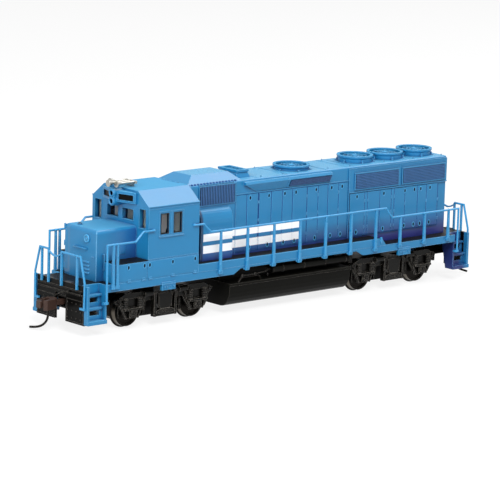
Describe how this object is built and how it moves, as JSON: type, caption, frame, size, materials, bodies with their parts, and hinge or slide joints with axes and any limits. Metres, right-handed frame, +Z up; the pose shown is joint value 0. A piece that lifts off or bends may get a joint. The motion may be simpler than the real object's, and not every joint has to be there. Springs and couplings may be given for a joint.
{
  "type": "scale model diesel locomotive",
  "caption": "Scale model road switcher diesel locomotive with a low short hood, roof fans, handrails, swivelling trucks, turning wheelsets, and couplers with hinged knuckles.",
  "frame": {"origin": "at the middle of the locomotive's length and width, at the lowest point of the wheel flanges", "axes": "+X forward to the short hood, +Y to the locomotive's left, +Z up"},
  "size_m": [0.218, 0.036, 0.0551],
  "materials": {
    "body_blue": "satin sprayed paint on moulded plastic",
    "black_plastic": "satin moulded",
    "weight_metal": "cast, inside the hood",
    "wheel_metal": "turned and plated",
    "coupler_brown": "painted cast metal",
    "pin_steel": "blackened wire",
    "window_clear": "clear smoky plastic",
    "lens_clear": "clear moulded",
    "horn_silver": "silver paint",
    "grille_dark": "dark, moulded bars"
  },
  "bodies": {
    "body": {"underframe": "black_plastic", "walkway_deck": "black_plastic", "raised_walkway": "black_plastic", "side_sill_left": "body_blue", "side_sill_right": "body_blue", "battery_box_left": "body_blue", "battery_box_right": "body_blue", "battery_treads": "black_plastic", "fuel_tank": "black_plastic", "air_reservoirs": "black_plastic", "chassis_weight": "weight_metal", "pilot_front": "black_plastic", "pilot_rear": "black_plastic", "steps_front_left": "body_blue", "steps_front_right": "body_blue", "steps_rear_left": "body_blue", "steps_rear_right": "body_blue", "draft_box_front": "black_plastic", "draft_box_rear": "black_plastic", "long_hood": "body_blue", "short_hood": "body_blue", "blower_duct": "body_blue", "radiator_grilles": "grille_dark", "brake_grilles": "grille_dark", "intake_grilles": "grille_dark", "cab": "body_blue", "cab_floor": "body_blue", "cab_windows": "window_clear", "brake_fan": "body_blue", "radiator_fan_front": "body_blue", "radiator_fan_middle": "body_blue", "radiator_fan_rear": "body_blue", "exhaust_stack": "body_blue", "horn": "horn_silver", "headlight_front": "body_blue", "number_boards": "black_plastic", "headlight_rear": "body_blue", "lamp_lenses": "lens_clear", "handrail_left": "body_blue", "handrail_right": "body_blue", "end_rail_front": "body_blue", "end_rail_rear": "body_blue"},
    "truck_front": {"truck_frame_front": "black_plastic", "sideframe_front_left": "black_plastic", "sideframe_front_right": "black_plastic"},
    "truck_rear": {"truck_frame_rear": "black_plastic", "sideframe_rear_left": "black_plastic", "sideframe_rear_right": "black_plastic"},
    "wheels_front_outer": {"wheelset_front_outer": "wheel_metal"},
    "wheels_front_inner": {"wheelset_front_inner": "wheel_metal"},
    "wheels_rear_outer": {"wheelset_rear_outer": "wheel_metal"},
    "wheels_rear_inner": {"wheelset_rear_inner": "wheel_metal"},
    "coupler_front": {"coupler_front": "coupler_brown", "trip_pin_front": "pin_steel"},
    "coupler_rear": {"coupler_rear": "coupler_brown", "trip_pin_rear": "pin_steel"},
    "knuckle_front": {"knuckle_front": "coupler_brown"},
    "knuckle_rear": {"knuckle_rear": "coupler_brown"}
  },
  "joints": [
    {"name": "truck_front_swivel", "type": "hinge", "parent": "body", "child": "truck_front", "pos_m": [0.0595, 0, 0.0175], "axis": [0, 0, 1], "range_deg": [-10, 10]},
    {"name": "truck_rear_swivel", "type": "hinge", "parent": "body", "child": "truck_rear", "pos_m": [-0.0595, 0, 0.0175], "axis": [0, 0, 1], "range_deg": [-10, 10]},
    {"name": "wheels_front_outer_spin", "type": "hinge", "parent": "truck_front", "child": "wheels_front_outer", "pos_m": [0.07525, 0, 0.00643], "axis": [0, 1, 0], "continuous": true},
    {"name": "wheels_front_inner_spin", "type": "hinge", "parent": "truck_front", "child": "wheels_front_inner", "pos_m": [0.04375, 0, 0.00643], "axis": [0, 1, 0], "continuous": true},
    {"name": "wheels_rear_outer_spin", "type": "hinge", "parent": "truck_rear", "child": "wheels_rear_outer", "pos_m": [-0.07525, 0, 0.00643], "axis": [0, 1, 0], "continuous": true},
    {"name": "wheels_rear_inner_spin", "type": "hinge", "parent": "truck_rear", "child": "wheels_rear_inner", "pos_m": [-0.04375, 0, 0.00643], "axis": [0, 1, 0], "continuous": true},
    {"name": "coupler_front_swing", "type": "hinge", "parent": "body", "child": "coupler_front", "pos_m": [0.0894, 0, 0.0112], "axis": [0, 0, 1], "range_deg": [-8, 8], "stiffness_Nm_per_rad": 0.001},
    {"name": "coupler_rear_swing", "type": "hinge", "parent": "body", "child": "coupler_rear", "pos_m": [-0.0894, 0, 0.0112], "axis": [0, 0, 1], "range_deg": [-8, 8], "stiffness_Nm_per_rad": 0.001},
    {"name": "knuckle_front_open", "type": "hinge", "parent": "coupler_front", "child": "knuckle_front", "pos_m": [0.1049, -0.0022, 0.0112], "axis": [0, 0, -1], "range_deg": [0, 25], "stiffness_Nm_per_rad": 0.0004},
    {"name": "knuckle_rear_open", "type": "hinge", "parent": "coupler_rear", "child": "knuckle_rear", "pos_m": [-0.1049, 0.0022, 0.0112], "axis": [0, 0, -1], "range_deg": [0, 25], "stiffness_Nm_per_rad": 0.0004}
  ]
}
